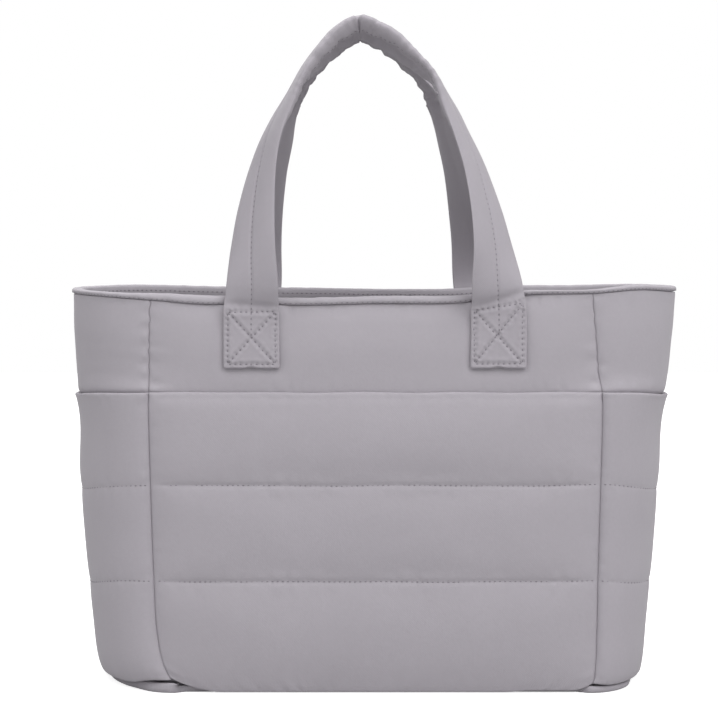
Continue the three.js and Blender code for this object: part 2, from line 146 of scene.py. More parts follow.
CLOTH_PRESSURE, CLOTH_FRAMES = 4, 20
THREADS_PER_METRE = 1600
SKY_LIGHT, FLOOR_GLOW = 0.6, 0.8
LIGHTS = {
    "key": {"place": (1.1, -1.5, 1.9), "aim": (0, 0, 0.2), "size": 1.4, "power": 25},
    "fill": {"place": (-1.3, -0.9, 1.7), "aim": (0, 0, 0.3), "size": 1.2, "power": 6.5},
    "top": {"place": (0.1, -0.5, 2.4), "aim": (0, 0, 0), "size": 2, "power": 22},
    "back": {"place": (-0.5, 1.8, 1.3), "aim": (0, 0, 0.2), "size": 1.6, "power": 14},
}
CAMERA_PLACE, CAMERA_PITCH = (-0.01114, -1.3776, 0.3303), 3.891
FOCAL_PIXELS, IMAGE_PIXELS, SENSOR = 1819.86, 720, 36
COLOUR_RANGE = {"size": 3, "min": 0, "max": 1}


class ToteSizes(PropertyGroup):
    """Sizes of the padding and the sewing"""
    quilt_fill: FloatProperty(
        name="Quilt Fill", description="How far the wadding stands out between quilting lines",
        default=0.0022, min=0, unit="LENGTH")
    swell: FloatProperty(
        name="Swell", description="The most that the filled cloth may move when it is blown up",
        default=0.0018, min=0, unit="LENGTH")
    pucker: FloatProperty(
        name="Pucker", description="Height of the small gathers beside a sewn line",
        default=0.0005, min=0, unit="LENGTH")
    strap_width: FloatProperty(
        name="Strap Width", description="Width of the handles",
        default=0.0386, min=0.01, unit="LENGTH")
    stitch_length: FloatProperty(
        name="Stitch Length", description="Length of one stitch",
        default=0.0018, min=0.0005, unit="LENGTH")
    stitch_gap: FloatProperty(
        name="Stitch Gap", description="Cloth left bare between two stitches",
        default=0.0019, min=0, unit="LENGTH")
    thread: FloatProperty(
        name="Thread", description="Thickness of the sewing thread",
        default=0.0009, min=0.0001, unit="LENGTH")


class ToteColours(PropertyGroup):
    """Colours of the cloth, the thread and the stage"""
    body: FloatVectorProperty(
        name="Body", description="Cloth of the walls and the base",
        default=(0.390, 0.366, 0.400), subtype="COLOR", **COLOUR_RANGE)
    pocket: FloatVectorProperty(
        name="Pockets", description="Cloth of the slip pockets",
        default=(0.390, 0.366, 0.400), subtype="COLOR", **COLOUR_RANGE)
    # Painted light: the binding is the same cloth as the body, painted a little lighter for the rim that
    # catches the light from above.
    binding: FloatVectorProperty(
        name="Binding", description="Cloth of the rolled rim",
        default=(0.400, 0.376, 0.410), subtype="COLOR", **COLOUR_RANGE)
    # Painted shade: the straps are the same cloth as the body, painted a little darker for the shade on them.
    handle: FloatVectorProperty(
        name="Handles", description="Cloth of the straps",
        default=(0.380, 0.356, 0.390), subtype="COLOR", **COLOUR_RANGE)
    thread: FloatVectorProperty(
        name="Thread", description="Sewing thread",
        default=(0.220, 0.204, 0.227), subtype="COLOR", **COLOUR_RANGE)
    floor: FloatVectorProperty(
        name="Floor", description="Floor and backdrop",
        default=(0.55, 0.55, 0.55), subtype="COLOR", **COLOUR_RANGE)


# Shapes, in millimetres

def smooth_at(table, name, at):
    """A column of a table at any place along its first column, on a smooth curve through its rows."""
    steps = np.asarray(next(iter(table.values())), float)
    values = np.asarray(table[name], float)
    gap = np.diff(steps)
    slope = np.diff(values) / gap
    tangent = np.concatenate([slope[:1], (slope[:-1] + slope[1:]) / 2, slope[-1:]])
    at = np.clip(np.asarray(at, float), steps[0], steps[-1])
    i = np.clip(np.searchsorted(steps, at, side="right") - 1, 0, len(gap) - 1)
    share = (at - steps[i]) / gap[i]
    rise = values[i + 1] - values[i]
    start, end = tangent[i] * gap[i], tangent[i + 1] * gap[i]
    bend = 3 * rise - 2 * start - end + share * (start + end - 2 * rise)
    return values[i] + share * (start + share * bend)


def ease(value, low, high):
    """0 below low, 1 above high, smooth between."""
    share = np.clip((np.asarray(value, float) - low) / (high - low), 0, 1)
    return share * share * (3 - 2 * share)


def groove(distance, width):
    """1 at no distance, falling smoothly to nothing at about twice the width."""
    return np.exp(-(distance / width) ** 2)


def uneven(at, wave, seed):
    """A wandering wave of about that length, mostly between -1 and 1: the same one for the same seed."""
    chance = np.random.default_rng(seed)
    total = 0
    for _ in range(6):
        length = wave * chance.uniform(0.65, 1.7)
        total = total + np.sin(np.asarray(at) * 2 * np.pi / length + chance.uniform(0, 7))
    return total / 3.4


def travelled(points):
    """How far each point lies from the first, along the line through them."""
    return np.append(0, np.cumsum(np.linalg.norm(np.diff(points, axis=0), axis=1)))


def along_path(path, travel, at):
    """Points that far along a path whose points lie at travel."""
    return np.column_stack([np.interp(at, travel, path[:, k]) for k in range(3)])


def rim_top(x, behind):
    """Top of the rim; behind is 0 at the front of the mouth and 1 at its back."""
    front, back = smooth_at(RIM, "front", x), smooth_at(RIM, "back", x)
    return front + (back - front) * behind


def half_width(kind, z, x):
    """Half width at a height, to the upright seam or to the whole body's side, on the side that x is on."""
    left, right = ("seam_left", "seam_right") if kind == "seam" else ("left", "right")
    width = np.where(np.asarray(x) < 0, smooth_at(PROFILE, left, z), smooth_at(PROFILE, right, z))
    if kind != "seam":
        return width
    wander = np.where(np.asarray(x) < 0, uneven(z, 9, 5), uneven(z, 8, 8))
    return width + wander * ease(z, 222, 232) * SEAM_WANDER


def wall_height(level, swing, x, behind):
    """Height of a level: 0 the foot, 1 and 2 the quilting lines, 3 the pocket hem, 4 the top of the wall."""
    level, swing, x, behind = np.broadcast_arrays(*(np.asarray(v, float) for v in (level, swing, x, behind)))
    heights = [a + (b - a) * swing ** 2 + (line > 0) * 0.6 * uneven(x, 90, line)
               for line, (a, b) in enumerate(zip(LINES["seam"], LINES["side"]))]
    heights = np.stack(heights + [rim_top(x, behind) - BINDING_HEIGHT - 0.1])
    below = np.clip(np.floor(level).astype(int), 0, 3)
    low = np.take_along_axis(heights, below[None], 0)[0]
    high = np.take_along_axis(heights, below[None] + 1, 0)[0]
    return low + (high - low) * (level - below)


def front_wall(across, level, out, facing=1):
    """A point of the front wall, or of the back with facing -1; across runs from -1 to 1 between seams."""
    across, level, out = np.broadcast_arrays(*(np.asarray(v, float) for v in (across, level, out)))
    sideways = facing * across
    z = wall_height(level, 0, sideways * half_width("seam", PROFILE["z"][-1], sideways), (1 - facing) / 2)
    x = sideways * (half_width("seam", z, sideways) - SEAM_GAP / 2)
    y = -facing * (smooth_at(PROFILE, "depth", z) + out)
    return np.stack([x, y, z], -1)


def side_wall(across, level, out, facing=1):
    """A point of the right side wall, or of the left with facing -1."""
    across, level, out = np.broadcast_arrays(*(np.asarray(v, float) for v in (across, level, out)))
    angle = (across + 1) * np.pi / 2
    swing, along = np.maximum(np.sin(angle), 0), np.cos(angle)

    def sideways(height, out, gap):
        seam = half_width("seam", height, facing) + gap
        reach = half_width("body", height, facing) + out - seam
        return facing * (seam + reach * swing ** smooth_at(PROFILE, "corner", height))

    z = wall_height(level, swing, sideways(PROFILE["z"][-1], out, 0), (1 - facing * along) / 2)
    depth = smooth_at(PROFILE, "depth", z) + out
    y = -facing * np.sign(along) * depth * np.abs(along) ** smooth_at(PROFILE, "corner", z)
    return np.stack([sideways(z, out, SEAM_GAP / 2), y, z], -1)


def channel_rows(first, last, step):
    """Levels from first to last, about a step apart and closer together beside each sewn line."""
    stops = [first] + [n for n in range(5) if first < n < last] + [last]
    rows = []
    for low, high in zip(stops, stops[1:]):
        share = np.linspace(0, 1, max(3, round((high - low) / step)) + 1)
        share = share - 0.09 * np.sin(2 * np.pi * share) * (high - low > 0.5)
        rows.append(low + (high - low) * share[:-1])
    return np.append(np.concatenate(rows), last)


def seam_columns(count):
    """Places from seam to seam, closer together beside the seams."""
    share = np.linspace(-1, 1, count)
    return share + 0.045 * np.sin(np.pi * share) * np.abs(share)


def quilted(levels, across, fills):
    """How far the wadding stands out: full between sewn lines, drawn in at the lines and the seams."""
    channel = np.clip(np.floor(levels).astype(int), 0, len(fills) - 1)
    share = np.clip(levels - channel, 0, 1)
    fill = np.asarray(fills, float)[channel]
    sewn = groove(np.minimum(share, 1 - share) * CHANNEL, 1.2) * (levels > 0.5) * (levels < len(fills) - 0.5)
    crease = np.minimum(0.3 * fill, 0.7) * sewn
    return (fill * (1 - np.abs(2 * share - 1) ** 5) - crease) * (1 - np.abs(across) ** 14)


def gathers(levels, across, width, seed):
    """Small gathers in the cloth beside the sewn lines and the seams, stronger above the pockets."""
    up, along = levels * CHANNEL + 0 * across, across * width + 0 * levels
    share = levels - np.floor(levels)
    from_line = np.minimum(share, 1 - share) * CHANNEL / 2.4
    from_seam = (1 - np.abs(across)) * width / 2.5
    ripple = 1.2 * uneven(along, 9, seed) * (0.3 + uneven(along, 70, seed + 1))
    by_line = ripple * from_line * np.exp(1 - from_line)
    by_seam = uneven(up, 10, seed + 2) * from_seam * np.exp(1 - from_seam) * (0.8 + 1.2 * (levels > 3))
    return bpy.context.scene.tote_sizes.pucker / MM * (by_line + by_seam)


def seam_dip(across):
    """How far a panel's outer face drops right at its seams."""
    return 0.5 * np.abs(across) ** 60


# Tools

def select_only(piece):
    bpy.ops.object.select_all(action="DESELECT")
    piece.select_set(True)
    bpy.context.view_layer.objects.active = piece


def new_piece(name, points, faces, flat):
    """A closed mesh from points in millimetres; flat is each point's place on the cloth, in metres."""
    mesh = bpy.data.meshes.new(name)
    mesh.from_pydata((np.asarray(points) * MM).tolist(), [], faces)
    corners = np.empty(len(mesh.loops), int)
    mesh.loops.foreach_get("vertex_index", corners)
    places = np.asarray(flat)[corners].astype(np.float32)
    mesh.uv_layers.new(name="cloth").data.foreach_set("uv", places.ravel())
    piece = bpy.data.objects.new(name, mesh)
    bpy.context.collection.objects.link(piece)
    select_only(piece)
    bpy.ops.object.mode_set(mode="EDIT")
    bpy.ops.mesh.select_all(action="SELECT")
    bpy.ops.mesh.normals_make_consistent(inside=False)
    bpy.ops.object.mode_set(mode="OBJECT")
    bpy.ops.object.shade_smooth()
    return piece


def padded_shell(name, outer, inner, flat, square_top):
    """A closed piece of wadding between an outer and an inner grid of points, joined round their edge."""
    rows, columns = outer.shape[:2]
    count = rows * columns
    index = np.arange(count).reshape(rows, columns)
    outside = np.stack([index[:-1, :-1], index[:-1, 1:], index[1:, 1:], index[1:, :-1]], -1).reshape(-1, 4)
    edge = np.concatenate([index[0, :-1], index[:-1, -1], index[-1, :0:-1], index[:0:-1, 0]])
    after = np.roll(edge, -1)
    rim = np.stack([after, edge, edge + count, after + count], -1)
    points = np.concatenate([outer.reshape(-1, 3), inner.reshape(-1, 3)])
    flat = flat.reshape(-1, 2) * MM
    piece = new_piece(name, points, np.concatenate([outside, outside[:, ::-1] + count, rim]).tolist(),
                      np.concatenate([flat, flat + (0.6, 0)]))
    ends = np.empty(len(piece.data.edges) * 2, int)
    piece.data.edges.foreach_get("vertices", ends)
    ends = ends.reshape(-1, 2)
    sharp = np.zeros(len(ends), np.float32)
    for line in [index[:, 0], index[:, -1]] + [index[-1]] * square_top:
        sharp[np.isin(ends, np.concatenate([line, line + count])).all(1)] = 0.9
    piece.data.attributes.new("crease_edge", "FLOAT", "EDGE").data.foreach_set("value", sharp)
    return piece


def loft(name, rings, flat, closed=False):
    """A skin through rings of points; it runs into itself if closed, or has flat ends."""
    count, around = rings.shape[:2]
    index = np.arange(count * around).reshape(count, around)
    here, ahead = (index, np.roll(index, -1, 0)) if closed else (index[:-1], index[1:])
    faces = np.stack([here, ahead, np.roll(ahead, -1, 1), np.roll(here, -1, 1)], -1).reshape(-1, 4).tolist()
    if not closed:
        faces += [index[0, ::-1].tolist(), index[-1].tolist()]
    return new_piece(name, rings.reshape(-1, 3), faces, flat.reshape(-1, 2) * MM)


def held_points(levels, columns, sewn):
    """Points of a padded shell that the sewing holds: its inner face, its edges and its sewn lines."""
    index = np.arange(len(levels) * columns).reshape(len(levels), columns)
    lines = index[np.isclose(levels[:, None], sewn).any(1)].ravel()
    edges = np.concatenate([index[0], index[-1], index[:, 0], index[:, -1]])
    return np.unique(np.concatenate([lines, edges, index.ravel() + index.size]))


def blow_up(piece, held, give):
    """Fills a closed piece by a cloth simulation, held where it is sewn and with little room to move."""
    scene = bpy.context.scene
    most = scene.tote_sizes.swell * give
    rest = np.empty(len(piece.data.vertices) * 3)
    piece.data.vertices.foreach_get("co", rest)
    piece.vertex_groups.new(name="sewn").add(held.tolist(), 1.0, "REPLACE")
    select_only(piece)
    bpy.ops.object.modifier_add(type="CLOTH")
    filling = piece.modifiers[-1]
    filling.settings.quality = 4
    filling.settings.vertex_group_mass = "sewn"
    filling.settings.use_pressure = True
    filling.settings.uniform_pressure_force = CLOTH_PRESSURE
    filling.settings.effector_weights.gravity = 0
    filling.collision_settings.use_collision = False
    filling.collision_settings.use_self_collision = False
    for number in range(1, CLOTH_FRAMES + 1):
        scene.frame_set(number)
    filled = piece.evaluated_get(bpy.context.evaluated_depsgraph_get())
    moved = np.empty_like(rest)
    filled.data.vertices.foreach_get("co", moved)
    piece.modifiers.remove(filling)
    scene.frame_set(1)
    step = (moved - rest).reshape(-1, 3)
    reach = np.linalg.norm(step, axis=1, keepdims=True)
    if not np.isfinite(reach).all():
        raise RuntimeError(f"the filling of {piece.name} did not settle")
    step *= most * np.tanh(reach / most) / np.maximum(reach, 1e-9)
    piece.data.vertices.foreach_set("co", rest + step.ravel())
    piece.data.update()


def round_off(piece):
    """One subdivision, applied."""
    select_only(piece)
    bpy.ops.object.modifier_add(type="SUBSURF")
    smooth = piece.modifiers[-1]
    smooth.levels = smooth.render_levels = 1
    bpy.ops.object.modifier_apply(modifier=smooth.name)


def dress(piece, slot, node=None, material=None):
    """Gives a finished piece its cloth and its place in the frame, and hides the packed part that it stands
    in for.
    """
    piece.data.materials.append(material or cloth(slot))
    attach(piece, "root")
    if node:
        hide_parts(node)


# Materials

def link(tree, source, target):
    tree.links.new(source, target)


def maths(tree, operation, first, second=None):
    node = tree.nodes.new("ShaderNodeMath")
    node.operation = operation
    for socket, value in zip(node.inputs, (first, second)):
        if isinstance(value, (int, float)):
            socket.default_value = value
        elif value is not None:
            link(tree, value, socket)
    return node.outputs[0]


def plain_weave():
    """Node group: fine woven cloth, with uneven dye, for every cloth of the tote."""
    group = bpy.data.node_groups.get("plain_weave")
    if group:
        return group
    group = bpy.data.node_groups.new("plain_weave", "ShaderNodeTree")
    group.interface.new_socket("Colour", in_out="INPUT", socket_type="NodeSocketColor")
    group.interface.new_socket("Threads per Metre", in_out="INPUT", socket_type="NodeSocketFloat")
    group.interface.new_socket("Colour", in_out="OUTPUT", socket_type="NodeSocketColor")
    group.interface.new_socket("Roughness", in_out="OUTPUT", socket_type="NodeSocketFloat")
    group.interface.new_socket("Height", in_out="OUTPUT", socket_type="NodeSocketFloat")
    into, out = group.nodes.new("NodeGroupInput"), group.nodes.new("NodeGroupOutput")
    place = group.nodes.new("ShaderNodeTexCoord")
    split = group.nodes.new("ShaderNodeSeparateXYZ")
    link(group, place.outputs["UV"], split.inputs[0])
    turns = maths(group, "MULTIPLY", into.outputs["Threads per Metre"], math.pi)
    warp = maths(group, "SINE", maths(group, "MULTIPLY", split.outputs["X"], turns))
    weft = maths(group, "SINE", maths(group, "MULTIPLY", split.outputs["Y"], turns))
    weave = maths(group, "ADD", maths(group, "MULTIPLY", maths(group, "MULTIPLY", warp, weft), 0.5), 0.5)

    def cloud(scale, detail):
        node = group.nodes.new("ShaderNodeTexNoise")
        node.inputs["Scale"].default_value = scale
        node.inputs["Detail"].default_value = detail
        link(group, place.outputs["Object"], node.inputs["Vector"])
        return node.outputs["Fac"]

    dye, slub = cloud(22, 3), cloud(420, 2)

    def share(value, most, least):
        node = group.nodes.new("ShaderNodeMapRange")
        node.inputs["To Min"].default_value, node.inputs["To Max"].default_value = least, most
        link(group, value, node.inputs["Value"])
        return node.outputs[0]

    shade = maths(group, "MULTIPLY", share(slub, 1.0, 0.94), share(dye, 1.05, 0.97))
    shade = maths(group, "MULTIPLY", shade, share(weave, 1.03, 0.98))
    tint = group.nodes.new("ShaderNodeVectorMath")
    tint.operation = "SCALE"
    link(group, into.outputs["Colour"], tint.inputs[0])
    link(group, shade, tint.inputs["Scale"])
    link(group, tint.outputs[0], out.inputs["Colour"])
    link(group, share(slub, 0.82, 0.66), out.inputs["Roughness"])
    link(group, maths(group, "ADD", weave, maths(group, "MULTIPLY", slub, 0.8)), out.inputs["Height"])
    return group


def cloth(slot):
    """The matte woven cloth of one slot."""
    name = slot.replace("cloth", "weave")
    material = bpy.data.materials.get(name)
    if material:
        return material
    colour = getattr(bpy.context.scene.tote_colours, slot.split("_")[0])
    material = bpy.data.materials.new(name)
    material.use_nodes = True
    tree = material.node_tree
    shader = tree.nodes["Principled BSDF"]
    shader.inputs["Sheen Weight"].default_value = 0.12
    shader.inputs["Sheen Roughness"].default_value = 0.5
    shader.inputs["Specular IOR Level"].default_value = 0.25
    weave = tree.nodes.new("ShaderNodeGroup")
    weave.node_tree = plain_weave()
    weave.inputs["Colour"].default_value = (*colour, 1)
    weave.inputs["Threads per Metre"].default_value = THREADS_PER_METRE
    bump = tree.nodes.new("ShaderNodeBump")
    bump.inputs["Strength"].default_value = 0.25
    bump.inputs["Distance"].default_value = 0.0003
    link(tree, weave.outputs["Colour"], shader.inputs["Base Color"])
    link(tree, weave.outputs["Roughness"], shader.inputs["Roughness"])
    link(tree, weave.outputs["Height"], bump.inputs["Height"])
    link(tree, bump.outputs["Normal"], shader.inputs["Normal"])
    return material


def thread():
    """Twisted sewing thread."""
    material = bpy.data.materials.get("sewing_thread")
    if material:
        return material
    material = bpy.data.materials.new("sewing_thread")
    material.use_nodes = True
    tree = material.node_tree
    shader = tree.nodes["Principled BSDF"]
    shader.inputs["Sheen Weight"].default_value = 0.1
    shader.inputs["Roughness"].default_value = 0.6
    twist = tree.nodes.new("ShaderNodeTexNoise")
    twist.inputs["Scale"].default_value = 900
    place = tree.nodes.new("ShaderNodeTexCoord")
    link(tree, place.outputs["Object"], twist.inputs["Vector"])
    ramp = tree.nodes.new("ShaderNodeValToRGB")
    colour = bpy.context.scene.tote_colours.thread
    ramp.color_ramp.elements[0].color = (*(c * 0.75 for c in colour), 1)
    ramp.color_ramp.elements[1].color = (*(min(c * 1.2, 1) for c in colour), 1)
    link(tree, twist.outputs["Fac"], ramp.inputs["Fac"])
    link(tree, ramp.outputs["Color"], shader.inputs["Base Color"])
    return material


# Walls and base

def sew_panel(name, place, facing, levels, columns, outer, inner, width, sewn, give, slot, square_top):
    """One padded panel; place puts it on the bag, outer and inner say how far it stands off the wall."""
    across, rows = seam_columns(columns)[None], levels[:, None]
    outside, inside = (place(across, rows, face(rows, across), facing) for face in (outer, inner))
    flat = np.stack(np.broadcast_arrays(across * width, outside[..., 2]), -1)
    piece = padded_shell(name + "_cloth", outside, inside, flat, square_top)
    blow_up(piece, held_points(levels, columns, sewn), give)
    round_off(piece)
    dress(piece, slot, name)


def wall_inside(rows, across):
    return -WALL + 0 * rows * across


def front_bulge(rows, across):
    """The upper front: full above the pocket hem, flat under the tabs, drawn in at the rim and the seams."""
    x, y, z = np.moveaxis(front_wall(across, rows, 0), -1, 0)
    forward = FRONT_PLANE + BAND_FULL * ease(rows, 2.5, 2.95)
    forward = forward - BAND_LEAN * ease(rows, 3.4, 4.12) - RIM_TUCK * ease(rows, 3.78, 4.04)
    for tab in TABS:
        under = (1 - ease(np.abs(x - tab["x"]), 18, 28)) * ease(z, 227, 237) * (1 - ease(z, 276, 287))
        forward = forward + (TAB_SEAT - forward) * under
    out = (forward + y) * (1 - np.abs(across) ** 8) * ease(rows, 2.4, 2.6)
    return out + gathers(rows, across, FRONT_HALF, SEEDS["front_panel"]) * (rows > 3) - seam_dip(across)


def back_bulge(rows, across):
    """The back: quilted in line with the pockets, a little flatter above them."""
    fill = bpy.context.scene.tote_sizes.quilt_fill / MM
    fills = (fill + BACK_FULLER,) * 3 + (fill,)
    return (quilted(rows, across, fills) + gathers(rows, across, FRONT_HALF, SEEDS["back_panel"])
            - seam_dip(across))


def side_bulge(name):
    """The upper part of a side: it swells out over the pocket hem and is drawn in at the rim."""
    def bulge(rows, across):
        over_hem = ease(rows, 2.99, 3.03) * (1 + 0.5 * ease(rows, 3.05, 3.4))
        puff = (0.5 * ease(rows, 2.5, 2.9) + over_hem) * (1 - ease(rows, 3.6, 4.05)) * (1 - across ** 14)
        return puff + gathers(rows, across, SIDE_HALF, SEEDS[name]) * (rows > 3) - seam_dip(across)

    return bulge


class TOTE_OT_walls(Operator):
    """Sew the padded front, back and side walls"""
    bl_idname = "tote.walls"
    bl_label = "Padded Walls"

    def execute(self, context):
        hem = (2.975, 2.995, 3.01, 3.03, 3.06)
        rows = np.concatenate([np.linspace(0, 2.4, 10), np.linspace(2.5, 2.94, 8), hem,
                               np.linspace(3.1, 3.9, 15), (3.94, 3.97, 4)])
        behind_pocket = rows[rows < 2.9]
        made = {"inner": wall_inside, "slot": "body_cloth", "square_top": True}
        sew_panel("front_panel", front_wall, facing=1, levels=rows, columns=110, outer=front_bulge,
                  width=FRONT_HALF, sewn=behind_pocket, give=0.3, **made)
        sew_panel("back_panel", front_wall, facing=-1, levels=channel_rows(0, 4, 0.055), columns=88,
                  outer=back_bulge, width=FRONT_HALF, sewn=BACK_LINES, give=1, **made)
        for name, facing in (("side_panel_left", -1), ("side_panel_right", 1)):
            sew_panel(name, side_wall, facing=facing, levels=rows, columns=64, outer=side_bulge(name),
                      width=SIDE_HALF, sewn=behind_pocket, give=0.3, **made)
        return {"FINISHED"}


class TOTE_OT_base(Operator):
    """Make the padded base"""
    bl_idname = "tote.base"
    bl_label = "Padded Base"

    def execute(self, context):
        line = np.linspace(-1, 1, 60)[:-1]
        swing = np.cos(line * np.pi / 2)
        right_lip, left_lip = (BASE_LIP * (1 - ease(swing, *reach)) for reach in ((0.6, 0.9), (0.2, 0.6)))
        outline = np.concatenate([front_wall(line, 0, 0, 1), side_wall(line, 0, right_lip, 1),
                                  front_wall(line, 0, 0, -1), side_wall(line, 0, left_lip, -1)])[:, :2]
        reach = np.linalg.norm(outline, axis=1, keepdims=True)
        left_corners = np.concatenate([0 * line, 0 * line, 0 * line, 1 - ease(swing, 0.35, 0.65)])
        rings = np.stack([np.column_stack([outline * (1 - inset / reach), height + lift * left_corners])
                          for inset, height, lift in BASE_EDGE])
        piece = loft("base_panel_cloth", rings, rings[..., :2])
        dress(piece, "body_cloth", "base_panel")
        return {"FINISHED"}


# Pockets

def lifted(place, lift):
    """The same wall with its lowest edge moved to the height that lift gives."""
    def lifted_place(across, level, out, facing=1):
        swing = np.cos(across * np.pi / 2) if place is side_wall else 0 * across
        foot, line = (LINES["seam"][k] + (LINES["side"][k] - LINES["seam"][k]) * swing ** 2 for k in (0, 1))
        step = (lift(across, swing, facing) - foot) / (line - foot)
        return place(across, np.where(level < 1, step + level * (1 - step), level), out, facing)

    return lifted_place


def front_pocket_foot(across, swing, facing):
    """Its rounded lower corners: the left one is larger."""
    left, right = np.clip((-across - 0.83) / 0.17, 0, 1), np.clip((across - 0.94) / 0.06, 0, 1)
    return POCKET_FOOT + ease(across, 0.62, 0.75) + 10.5 * left ** 2 + 5 * right ** 2


def side_pocket_foot(across, swing, facing):
    """Its lower edge, which rises towards the seams so that the base shows under it."""
    return 9.4 - 3.9 * ease(swing, 0.15, 0.6) if facing < 0 else 6.8 - 1.3 * ease(swing, 0, 0.3)


def front_pocket_inside(rows, across):
    """How far the front pocket stands off the wall: its mouth is open, and it leans in at the hem."""
    open_part = ease(rows, 0, 0.8) * (1 - 0.42 * ease(rows, 2.2, 3))
    return GAP + POCKET_SLIT * open_part * (1 - np.abs(across) ** 10)


def front_pocket_outside(rows, across):
    """Three quilted channels, and a thin hem with a soft edge."""
    fill = bpy.context.scene.tote_sizes.quilt_fill / MM
    thick = POCKET_STITCHED - 1.6 * ease(rows, 2.85, 3) - seam_dip(across)
    thick = thick + 0.8 * groove((3 - rows) * 67 - 1.6, 1.6)
    return (front_pocket_inside(rows, across) + thick + quilted(rows, across, (fill,) * 3)
            + gathers(rows, across, POCKET_HALF, SEEDS["front_pocket"]))


def side_pocket_inside(rows, across):
    return SIDE_POCKET_SLIT + 0 * rows * across


def side_pocket_outside(name):
    """Three flatter channels, thinner at the seams and at the foot."""
    def outside(rows, across):
        thick = SIDE_POCKET_STITCHED - 2.2 * np.abs(across) ** 24 - seam_dip(across)
        thick = thick - 0.8 * np.exp(-rows / 0.07) * (1 - np.abs(across) ** 24)
        return (SIDE_POCKET_SLIT + thick + quilted(rows, across, (SIDE_POCKET_FILL,) * 3)
                + gathers(rows, across, SIDE_HALF, SEEDS[name]))

    return outside


class TOTE_OT_pockets(Operator):
    """Sew the quilted slip pockets on the front and the sides"""
    bl_idname = "tote.pockets"
    bl_label = "Slip Pockets"

    def execute(self, context):
        made = {"levels": channel_rows(0, 3, 0.045), "sewn": POCKET_LINES, "slot": "pocket_cloth",
                "square_top": False}
        sew_panel("front_pocket", lifted(front_wall, front_pocket_foot), facing=1, columns=100,
                  outer=front_pocket_outside, inner=front_pocket_inside, width=POCKET_HALF, give=1, **made)
        for name, facing in (("side_pocket_left", -1), ("side_pocket_right", 1)):
            sew_panel(name, lifted(side_wall, side_pocket_foot), facing=facing, columns=66,
                      outer=side_pocket_outside(name), inner=side_pocket_inside, width=SIDE_HALF, give=0.4,
                      **made)
        return {"FINISHED"}


# Rim

def rim_path(out, step):
    """Points round the top of the walls at that distance from their middle, with their outward directions."""
    line = np.linspace(-1, 1, 200)[:-1]
    loop = np.concatenate([place(line, 4, -WALL / 2, facing) for place, facing in
                           ((front_wall, 1), (side_wall, 1), (front_wall, -1), (side_wall, -1))])
    loop = np.concatenate([loop, loop[:1]])
    travel = travelled(loop[:, :2])
    count = int(travel[-1] / step)
    at = np.arange(count) * travel[-1] / count
    path = along_path(loop, travel, at)
    ahead = np.roll(path, -2, 0) - np.roll(path, 2, 0)
    outward = np.column_stack([ahead[:, 1], -ahead[:, 0], 0 * at])
    outward /= np.linalg.norm(outward, axis=1, keepdims=True)
    return at, path + outward * out, outward


class TOTE_OT_rim(Operator):
    """Roll the binding round the mouth"""
    bl_idname = "tote.rim"
    bl_label = "Rim Binding"

    def execute(self, context):
        at, middle, outward = rim_path(0, 1.6)
        seed = SEEDS["rim_binding"]
        angle = np.linspace(0, 2 * np.pi, 27)[:-1]
        wide = np.sign(np.cos(angle)) * np.abs(np.cos(angle)) ** 0.8
        tall = np.sign(np.sin(angle)) * np.abs(np.sin(angle)) ** 0.9
        slant = at[:, None] + 3 * np.sin(angle)[None]
        swell = 1 + 0.05 * uneven(slant, 11, seed) + 0.03 * uneven(slant, 45, seed + 1)
        lip = smooth_at(LIP, "front", middle[:, :1])
        taller = 1 + (lip - 1) * ease(-middle[:, 1:2], -20, 40)
        rise = BINDING_HEIGHT / 2 * np.where(tall > 0, tall * swell * taller, tall)
        flap = groove(np.degrees(angle) - FLAP_ANGLE, FLAP_SPREAD) * ease(middle[:, 1:2], 5, 40)
        reach = BINDING_WIDTH / 2 * wide * swell - FLAP_INSET * flap
        rings = middle[:, None] + outward[:, None] * reach[..., None]
        rings[..., 2] += 0.05 + BINDING_HEIGHT / 2 + rise - FLAP_LENGTH * flap
        flat = np.stack(np.broadcast_arrays(at[:, None], angle[None] * 4), -1)
        piece = loft("rim_binding_cloth", rings, flat, closed=True)
        dress(piece, "binding_cloth", "rim_binding")
        return {"FINISHED"}


# Handles

